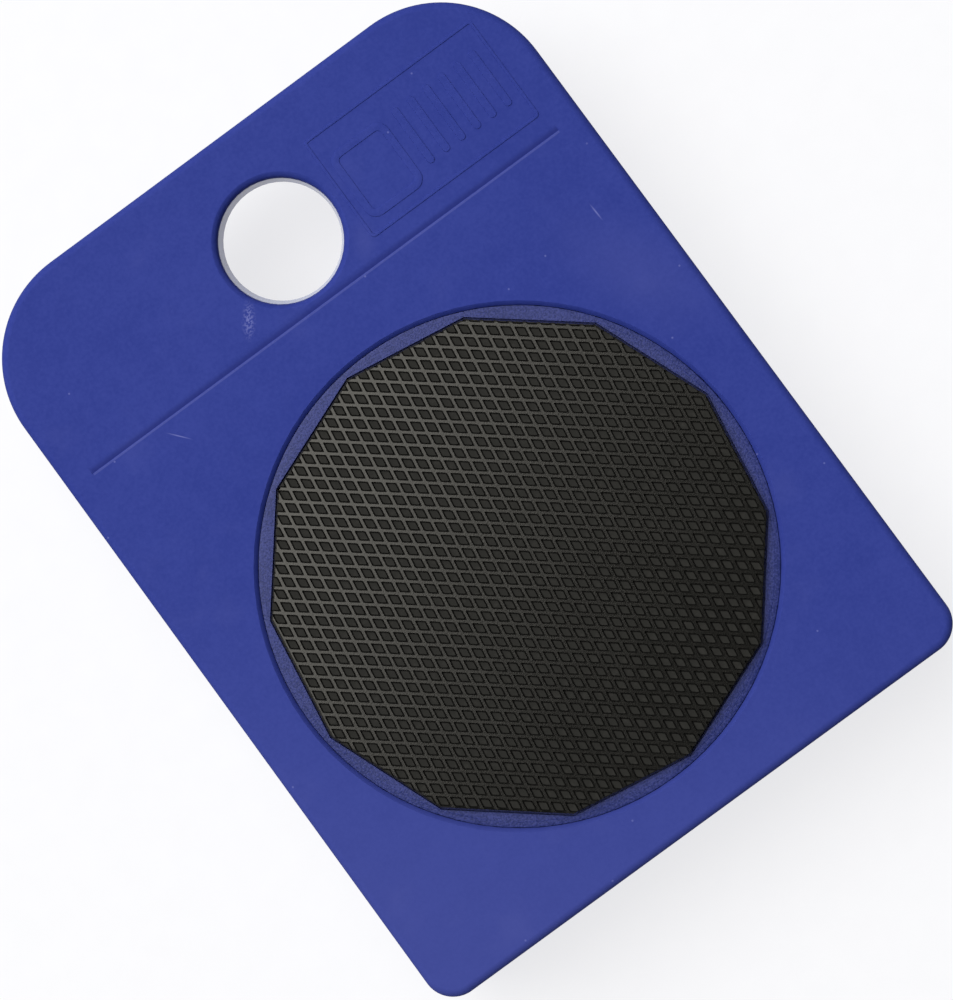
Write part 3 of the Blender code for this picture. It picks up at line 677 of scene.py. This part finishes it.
def roll_outer_edges(body, deck):
    """Ease the corners, roll the deck over into the walls, and take the edge off the walls' foot."""
    def on_top(vert):
        return outside(vert.co) > -ROLL_SEAM and vert.co.z > deck - ROLL_SEAM

    def on_foot(edge):
        first, second = (vert.co for vert in edge.verts)
        low = max(first.z, second.z) < deck / 2 and abs(first.z - second.z) < 0.5 * edge.calc_length()
        return low and min(outside(first), outside(second)) > -ROLL_SEAM

    pick(body, "verts", on_top)
    bpy.ops.mesh.remove_doubles(threshold=ROLL_SEAM)
    pick(body, "verts", on_top)
    bpy.ops.transform.resize(value=(1, 1, 0), center_override=(0, 0, deck))
    ease_corners(body)
    pick(body, "edges", lambda edge: all(on_top(vert) for vert in edge.verts))
    bpy.ops.mesh.bevel(offset=TOP_ROLL, segments=6)
    pick(body, "edges", on_foot)
    bpy.ops.mesh.bevel(offset=FOOT_ROLL, segments=2)


def shorten_collar(body):
    """Lift the foot of the finger hole's collar, and widen and shift the bore there."""
    hole = Vector((HOLE_CENTRE[0], HOLE_CENTRE[1], COLLAR_FOOT))

    def near_hole(vert, height, reach):
        return abs(vert.co.z - height) < MERGE * 10 and (vert.co - hole).xy.length < reach

    pick(body, "verts", lambda vert: near_hole(vert, COLLAR_FOOT, COLLAR_REACH))
    bpy.ops.transform.translate(value=(0, 0, COLLAR_LIFT))
    pick(body, "verts", lambda vert: near_hole(vert, COLLAR_FOOT + COLLAR_LIFT, HOLE_WALL))
    bpy.ops.transform.resize(value=(BORE_WIDEN, BORE_WIDEN, 1), center_override=hole)
    bpy.ops.transform.translate(value=BORE_SHIFT)


def refine_body(body):
    """Join flat faces, roll the outer edges, shorten the collar, and draw in and chamfer the well's edge."""
    deck = body_high.z
    pivot = middle("turntable")
    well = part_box("turntable")[1].x - pivot.x + WELL_GAP
    pull = 1 - WELL_PULL / well

    def on_rim(edge):
        spots = [vert.co for vert in edge.verts]
        level = all(abs(spot.z - deck) < MERGE for spot in spots)
        return level and all((spot - pivot).xy.length < well + WELL_GAP for spot in spots)

    bpy.ops.mesh.dissolve_limited(angle_limit=FLAT_ANGLE)
    roll_outer_edges(body, deck)
    shorten_collar(body)
    pick(body, "edges", on_rim)
    bpy.ops.transform.resize(value=(pull, pull, 1), center_override=pivot)
    bpy.ops.mesh.bevel(offset=WELL_CHAMFER, segments=4, profile=WELL_PROFILE)


def make_disc(finish):
    """The turntable, and the sloped rim that closes most of the gap round it."""
    disc = smoothed_node("turntable", "turntable_disc")
    dress(disc, "turntable", "turntable_plastic", finish, "turntable")
    low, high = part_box("turntable")
    centre = middle("turntable")
    inner = (high.x - low.x) / 2
    outer = inner + RIM_REACH
    root = inner - RIM_REACH
    top = high.z - RIM_DROP
    profile = [(root, top), (inner, top), (outer, top - RIM_FALL), (outer, top - RIM_DEPTH),
               (root, top - RIM_DEPTH), (root, top)]
    spot = Vector((centre.x, centre.y, 0))
    rim = turned("turntable_rim", profile, spot, UP, ACROSS, RIM_STEPS)
    shade(rim)
    dress(rim, "turntable", "turntable_plastic", finish)


# Grip pad

def tread_cell(bearing, top):
    """One rhombus of the tread: half a band, a groove and a dished tile."""
    settings = {"vertices": 4, "radius": 1, "fill_type": "NGON", "location": (0, 0, 0)}
    cell = start_piece("grip_pad_tread", bpy.ops.mesh.primitive_circle_add, **settings)
    half = CELL_CORNER / 2
    bpy.ops.transform.resize(value=(CELL_PITCH * math.cos(half), CELL_PITCH * math.sin(half), 1))
    groove_floor = GROOVE_WIDTH - 2 * WALL_SLOPE
    rings = [(BAND_WIDTH / 2, 0), (WALL_SLOPE, -GROOVE_DEPTH), (groove_floor, 0),
             (WALL_SLOPE, GROOVE_DEPTH - TILE_SINK), (TILE_DISH_EDGE, -TILE_DISH)]
    for thickness, depth in rings:
        bpy.ops.mesh.inset(thickness=thickness, depth=depth)

    def down_a_corner(edge):
        spots = [vert.co for vert in edge.verts]
        on_line = all(abs(spot.x) < MERGE for spot in spots) or all(abs(spot.y) < MERGE for spot in spots)
        return on_line and min(spot.z for spot in spots) < -TILE_SINK - TILE_DISH - MERGE

    pick(cell, "edges", down_a_corner)
    bpy.ops.mesh.bevel(offset=TILE_CORNER, segments=2)
    bpy.ops.object.mode_set(mode="OBJECT")
    cell.rotation_euler.z = bearing
    cell.location.z = top
    bpy.ops.object.transform_apply(location=True, rotation=True, scale=True)
    return cell


def mend_seams():
    """Merge the slivers that cuts leave, take out faces inside the wall and close what is open."""
    bpy.ops.mesh.select_all(action="SELECT")
    bpy.ops.mesh.remove_doubles(threshold=MERGE * 5)
    bpy.ops.mesh.dissolve_degenerate(threshold=MERGE)
    bpy.ops.mesh.select_mode(type="FACE")
    bpy.ops.mesh.select_all(action="DESELECT")
    bpy.ops.mesh.select_interior_faces()
    bpy.ops.mesh.delete(type="FACE")
    bpy.ops.mesh.select_all(action="SELECT")
    bpy.ops.mesh.fill_holes(sides=0)


def pad_outline():
    """The pad's centre, the radius of its corners and the bearing of the corner nearest to X."""
    centre = middle("grip_pad")
    spots = [vert.co - centre for vert in frame["nodes"]["grip_pad"].data.vertices]
    corner = max(spots, key=lambda spot: spot.xy.length)
    side_turn = math.tau / PAD_SIDES
    bearing = math.atan2(corner.y, corner.x)
    return centre, corner.xy.length, (bearing + side_turn / 2) % side_turn - side_turn / 2


def lay_tread(cell, centre, radius, long_bearing):
    """Repeat one rhombus along its two sides until the tread covers the pad."""
    rows = []
    for side in (1, -1):
        bearing = long_bearing + side * CELL_CORNER / 2
        rows.append(Vector((math.cos(bearing), math.sin(bearing), 0)) * CELL_PITCH)
    reach = math.ceil(radius / (CELL_PITCH * math.sin(CELL_CORNER))) + 1
    count = 2 * reach + 1
    first = rows[0] * (CELL_SHIFT[0] - reach) + rows[1] * (CELL_SHIFT[1] - reach)
    cell.location = Vector((centre.x, centre.y, 0)) + first
    make_active(cell)
    bpy.ops.object.transform_apply(location=True)
    for row in rows:
        apply_modifier(cell, "ARRAY", count=count, use_relative_offset=False, use_constant_offset=True,
                       constant_offset_displace=row, use_merge_vertices=True, merge_threshold=MERGE * 5)


def cut_to_pad(cell, centre, radius, pad_turn):
    """Cut the tread to the pad's twelve sides, and give it walls, a foot and a chamfer."""
    low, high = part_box("grip_pad")
    side_turn = math.tau / PAD_SIDES
    apothem = radius * math.cos(side_turn / 2)
    turns = [pad_turn + side_turn * (side + 0.5) for side in range(PAD_SIDES)]
    outs = [Vector((math.cos(turn), math.sin(turn), 0)) for turn in turns]
    make_active(cell)
    bpy.ops.object.mode_set(mode="EDIT")
    for out in outs:
        bpy.ops.mesh.select_all(action="SELECT")
        bpy.ops.mesh.bisect(plane_co=centre + out * apothem, plane_no=out, clear_outer=True)
    bpy.ops.mesh.select_mode(type="EDGE")
    bpy.ops.mesh.select_all(action="DESELECT")
    bpy.ops.mesh.select_non_manifold()
    bpy.ops.mesh.extrude_region_move(TRANSFORM_OT_translate={"value": (0, 0, low.z - high.z)})
    bpy.ops.transform.resize(value=(1, 1, 0), center_override=(centre.x, centre.y, low.z))
    bpy.ops.mesh.edge_face_add()
    shoulder = Vector((0, 0, high.z - PAD_CHAMFER - centre.z))
    for out in outs:
        bpy.ops.mesh.select_all(action="SELECT")
        bpy.ops.mesh.bisect(plane_co=centre + out * apothem + shoulder, plane_no=out + UP,
                            clear_outer=True, use_fill=True)
    mend_seams()
    close_piece()


def make_grip_pad(finish):
    """The rubber pad: a tread of rhombuses, cut to the pad's outline."""
    centre, radius, pad_turn = pad_outline()
    long_bearing = CELL_LONG_BEARING + pad_turn
    pad = tread_cell(long_bearing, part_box("grip_pad")[1].z)
    lay_tread(pad, centre, radius, long_bearing)
    cut_to_pad(pad, centre, radius, pad_turn)
    make_active(pad)
    bpy.ops.object.shade_smooth_by_angle(angle=SMOOTH_ANGLE)
    dress(pad, "turntable", "grip_rubber", finish, "grip_pad")


# Wheels and axles

def make_wheels(finish):
    """Four nylon wheels: a round-edged tread with a mould seam, a web and a hub on both faces."""
    low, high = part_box("wheel_" + CORNERS[0])
    axle_low, axle_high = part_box("axle_" + CORNERS[0])
    centre = middle("wheel_" + CORNERS[0])
    radius = (high.z - low.z) / 2
    half = (high.x - low.x) / 2
    bore = (axle_high.z - axle_low.z) / 2 + RUN_GAP
    hub = bore + WHEEL_HUB_WALL
    rim = radius - WHEEL_RIM_WALL
    web = half - WHEEL_RECESS
    face = [(bore, 0), (bore, half), (hub, half), (hub, web), (rim, web), (rim, half)]
    edge = arc((radius - WHEEL_EDGE, half - WHEEL_EDGE), WHEEL_EDGE, 90, 0, 5)
    seam = [(radius - WHEEL_SEAM, WHEEL_SEAM_WIDTH), (radius, WHEEL_SEAM_WIDTH / 2)]
    outer = [(r - WHEEL_SEAM, x) for r, x in edge]
    right = face + outer + seam
    left = [(r, -x) for r, x in reversed(right)]
    wheel = turned("wheel_" + CORNERS[0] + "_nylon", right + left, centre, ACROSS, UP, WHEEL_STEPS)
    round_edges(wheel, FINE_BEVEL)
    shade(wheel)
    for corner in CORNERS:
        node = "wheel_" + corner
        twin = wheel
        if corner != CORNERS[0]:
            twin = copy_piece(wheel, node + "_nylon", middle(node) - centre)
        dress(twin, node, "wheel_nylon", finish, node)


def make_axles(finish):
    """Four steel axles with chamfered ends and a centre mark in each end."""
    low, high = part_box("axle_" + CORNERS[0])
    centre = middle("axle_" + CORNERS[0])
    radius = (high.z - low.z) / 2
    half = (high.x - low.x) / 2
    end = [(radius, half - AXLE_CHAMFER), (radius - AXLE_CHAMFER, half), (radius * 0.28, half),
           (0, half - radius * 0.2)]
    profile = [(r, -x) for r, x in reversed(end)] + end
    axle = turned("axle_" + CORNERS[0] + "_steel", profile, centre, ACROSS, UP, AXLE_STEPS)
    shade(axle)
    for corner in CORNERS:
        node = "axle_" + corner
        twin = axle
        if corner != CORNERS[0]:
            twin = copy_piece(axle, node + "_steel", middle(node) - centre)
        dress(twin, frame["nodes"][node]["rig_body"], "axle_steel", finish, node)


# Pivot and fasteners

def threaded(root, crest, foot, head):
    """Rings of a screw thread between two heights, from the foot up to the head."""
    turns = round((head - foot) / (2 * THREAD_PITCH)) * 2
    step = (head - foot) / turns
    return [(crest if ring % 2 else root, foot + ring * step) for ring in range(turns + 1)]


def cross_recess(piece, spot, arm, depth, turn):
    """Cut a tapered cross into a screw head from below."""
    width = arm * 0.36
    settings = {"size": 2 * width, "location": (0, 0, 0)}
    cutter = start_piece("cross_cutter", bpy.ops.mesh.primitive_cube_add, **settings)
    pick(cutter, "faces", lambda face: abs(face.normal.z) < 0.5)
    bpy.ops.mesh.extrude_faces_move(TRANSFORM_OT_shrink_fatten={"value": arm - width})
    pick(cutter, "verts", lambda vert: vert.co.z > 0)
    bpy.ops.transform.resize(value=(0.45, 0.45, 1), center_override=(0, 0, 0))
    close_piece()
    cutter.scale.z = depth / width
    cutter.rotation_euler.z = turn
    cutter.location = spot
    make_active(cutter)
    bpy.ops.object.transform_apply(location=True, rotation=True, scale=True)
    apply_modifier(piece, "BOOLEAN", operation="DIFFERENCE", solver="EXACT", object=cutter)
    bpy.data.objects.remove(cutter)


def make_keeper_screws(finish):
    """Eight countersunk screws, each stopped at an angle of its own."""
    names = [name for name in frame["nodes"] if name.startswith("keeper_screw_")]
    low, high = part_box(names[0])
    centre = middle(names[0])
    spot = Vector((centre.x, centre.y, 0))
    head = (high.x - low.x) / 2
    shank = head / 2
    root = shank * 0.72
    cone = low.z + head - shank
    profile = [(0, low.z), (head - FINE_BEVEL, low.z), (head, low.z + FINE_BEVEL), (shank, cone)]
    profile += threaded(root, shank, cone + THREAD_PITCH / 2, high.z - shank)
    profile += [(0, high.z)]
    screw = turned(names[0] + "_zinc", profile, spot, UP, ACROSS, SCREW_STEPS)
    cross_recess(screw, Vector((spot.x, spot.y, low.z)), head * 0.62, head * 0.42, 0)
    shade(screw)
    for index, name in enumerate(names):
        twin = screw
        if index:
            shift = middle(name) - centre
            twin = copy_piece(screw, name + "_zinc", shift, SCREW_TURN * index, spot)
        dress(twin, "base", "screw_steel", finish, name)


def make_pivot(washer_finish, screw_finish):
    """The pan head screw and washer that hold the turntable in its boss."""
    low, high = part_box("pivot_screw")
    washer_low, washer_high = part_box("pivot_washer")
    centre = middle("pivot_screw")
    spot = Vector((centre.x, centre.y, 0))
    head = (high.x - low.x) / 2
    head_top = washer_low.z - RUN_GAP
    shank = head * 0.52
    crown = head_top - low.z
    profile = [(0, low.z)] + arc((head - crown * 0.7, low.z + crown * 0.7), crown * 0.7, -90, 0, 6)
    profile += [(head, head_top), (shank, head_top)]
    profile += threaded(shank * 0.78, shank, head_top + THREAD_PITCH, high.z - shank * 0.6)
    profile += [(shank * 0.4, high.z), (0, high.z)]
    screw = turned("pivot_screw_zinc", profile, spot, UP, ACROSS, PIVOT_STEPS)
    cross_recess(screw, Vector((spot.x, spot.y, low.z)), head * 0.52, crown * 0.62, math.radians(25))
    shade(screw)
    dress(screw, "turntable", "screw_steel", screw_finish, "pivot_screw")

    reach = (washer_high.x - washer_low.x) / 2
    hole = shank + RUN_GAP
    ring = [(hole, washer_low.z), (reach, washer_low.z), (reach, washer_high.z), (hole, washer_high.z),
            (hole, washer_low.z)]
    washer = turned("pivot_washer_zinc", ring, spot, UP, ACROSS, WASHER_STEPS)
    round_edges(washer, FINE_BEVEL, 3)
    shade(washer)
    dress(washer, "turntable", "keeper_steel", washer_finish, "pivot_washer")


def make_keepers(finish):
    """Four steel strips under the axles."""
    for node in [name for name in frame["nodes"] if name.startswith("keeper_") and "screw" not in name]:
        dress(smoothed_node(node, node + "_strip"), "base", "keeper_steel", finish, node)


# Blank panel beside the finger hole

def raised_shape(name, centre, size, corner, line=None):
    """A low raised shape on the deck with round corners, or only its outline where a line is given."""
    deck = body_high.z
    spot = (centre[0], centre[1], deck)
    shape = start_piece(name, bpy.ops.mesh.primitive_plane_add, size=1, location=spot)
    bpy.ops.transform.resize(value=(size[0], size[1], 1), center_override=spot)
    bpy.ops.mesh.bevel(offset=corner, segments=5, affect="VERTICES")
    if line:
        bpy.ops.mesh.select_mode(type="FACE")
        bpy.ops.mesh.inset(thickness=line)
        bpy.ops.mesh.delete(type="FACE")
    bpy.ops.object.mode_set(mode="OBJECT")
    apply_modifier(shape, "SOLIDIFY", thickness=PANEL_RAISE * 2, offset=0)
    round_edges(shape, PANEL_RAISE * 0.7)
    return shape


def make_panel(finish):
    """A bare panel in place of words: a border, an empty box and a row of plain ribs."""
    pieces = [raised_shape("panel_border", PANEL_CENTRE, PANEL_SIZE, PANEL_CORNER, PANEL_LINE)]
    pieces.append(raised_shape("panel_box", PANEL_BOX_CENTRE, PANEL_BOX_SIZE, PANEL_BOX_CORNER, RIB_WIDTH))
    for rib in range(RIB_COUNT):
        spot = (RIB_FIRST[0] + rib * RIB_PITCH, RIB_FIRST[1])
        pieces.append(raised_shape(f"panel_rib_{rib + 1}", spot, (RIB_WIDTH, RIB_LENGTH), RIB_WIDTH * 0.49))
    for piece in pieces:
        shade(piece)
        dress(piece, "base", "body_plastic", finish)


# Camera, light and floor

def make_camera():
    """The photograph's camera."""
    forward = (CAMERA_AIM - CAMERA_EYE).normalized()
    up_hint = Vector((math.cos(CAMERA_UP_BEARING), math.sin(CAMERA_UP_BEARING), 0))
    right = forward.cross(up_hint).normalized()
    up = right.cross(forward)
    bpy.ops.object.camera_add()
    camera = bpy.context.object
    turn = Matrix((right, up, -forward)).transposed().to_4x4()
    camera.matrix_world = Matrix.Translation(CAMERA_EYE) @ turn
    camera.data.lens = CAMERA_LENS
    camera.data.sensor_width = CAMERA_SENSOR
    camera.data.clip_start = 0.01
    bpy.context.scene.camera = camera


def make_softbox(name, bearing, from_zenith, distance, size, radiance):
    """A square soft light aimed at the part's middle, as bright as a surface of that radiance."""
    lean = math.radians(from_zenith)
    turn = math.radians(bearing)
    way = Vector((math.sin(lean) * math.cos(turn), math.sin(lean) * math.sin(turn), math.cos(lean)))
    bpy.ops.object.light_add(type="AREA", location=way * distance)
    lamp = bpy.context.object
    lamp.name = name
    lamp.rotation_euler = way.to_track_quat("Z", "Y").to_euler()
    lamp.data.shape = "SQUARE"
    lamp.data.size = size
    lamp.data.energy = radiance * math.pi * size * size
    lamp.visible_camera = False


def make_world():
    """Pale walls round a dim ceiling, and dark below the floor. The camera sees white on every side."""
    world = bpy.data.worlds.new("studio")
    bpy.context.scene.world = world
    world.use_nodes = True
    tree = world.node_tree
    tree.nodes.clear()
    start = Socket(tree)
    camera = start.add("ShaderNodeLightPath", output="Is Camera Ray")
    way = start.add("ShaderNodeTexCoord", output="Generated")
    wall = 1 - way.axis("Z").step(0.30, 0.75)
    lit = math.radians(LIGHT_BEARING)
    aim = {0: way, 1: (math.cos(lit), math.sin(lit), 0)}
    facing = way.add("ShaderNodeVectorMath", {"operation": "DOT_PRODUCT"}, aim, "Value")
    above = way.axis("Z").step(-0.05, 0)
    room = above * (CEILING_GLOW + wall * (WALL_GLOW + facing.step(-0.2, 0.9) * LIT_WALL_GLOW))
    strength = camera + (1 - camera) * room
    glow = start.add("ShaderNodeBackground", None, {"Color": WHITE, "Strength": strength})
    start.add("ShaderNodeOutputWorld", None, {"Surface": glow})


def make_floor():
    """A sheet of white paper under the wheels, which lets the light below through to the underside."""
    spot = (0, 0, cad_low.z)
    floor = start_piece("floor", bpy.ops.mesh.primitive_plane_add, size=FLOOR_SIZE, location=spot)
    bpy.ops.mesh.subdivide(number_cuts=3)
    bpy.ops.object.mode_set(mode="OBJECT")
    floor.data.materials.append(floor_paper())
    floor.visible_shadow = False


blue = body_plastic()
make_body(blue)
make_disc(turntable_plastic())
make_grip_pad(grip_rubber(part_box("grip_pad")[1].z))
make_wheels(wheel_nylon())
steel = bright_steel("axle_steel", AXLE_DULL, AXLE_BRIGHT, 0.22, (0.1, 1, 1))
make_axles(steel)
zinc = bright_steel("keeper_steel", KEEPER_DULL, KEEPER_BRIGHT, 0.34, (1, 0.1, 1))
make_keepers(zinc)
screw_zinc = bright_steel("screw_steel", SCREW_DULL, SCREW_BRIGHT, 0.26, (1, 1, 1))
make_keeper_screws(screw_zinc)
make_pivot(zinc, screw_zinc)
make_panel(blue)
make_camera()
make_softbox("key_softbox", LIGHT_BEARING, KEY_LEAN, KEY_DISTANCE, KEY_SIZE, KEY_RADIANCE)
make_softbox("under_softbox", LIGHT_BEARING, UNDER_LEAN, UNDER_DISTANCE, UNDER_SIZE, UNDER_RADIANCE)
make_world()
make_floor()
bpy.context.scene.view_settings.view_transform = "Standard"
